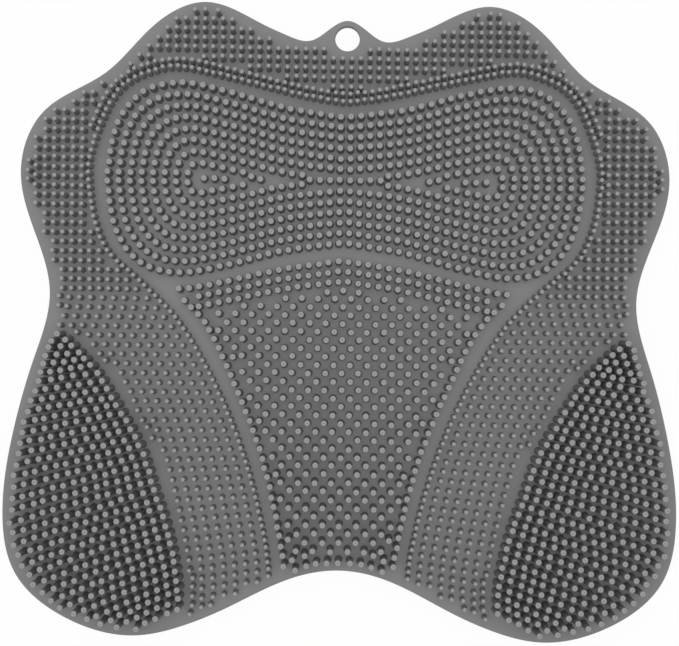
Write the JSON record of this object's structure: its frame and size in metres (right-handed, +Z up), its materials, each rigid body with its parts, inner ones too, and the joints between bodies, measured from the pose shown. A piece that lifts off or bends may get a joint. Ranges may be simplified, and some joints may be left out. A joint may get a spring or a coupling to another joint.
{
  "type": "shower foot scrubber",
  "caption": "Lobed bath mat covered with soft upright bristles that scrub the feet, with a hanging loop and suction cups underneath.",
  "frame": {"origin": "middle of the bounding box at the level of the suction cups' rims", "axes": "+Z up out of the bristles, +Y towards the hanging loop, +X across the mat"},
  "size_m": [0.2998, 0.2824, 0.0164],
  "materials": {
    "silicone": "matt moulded silicone"
  },
  "bodies": {
    "root": {"scrubber_mat": "silicone"}
  },
  "joints": []
}
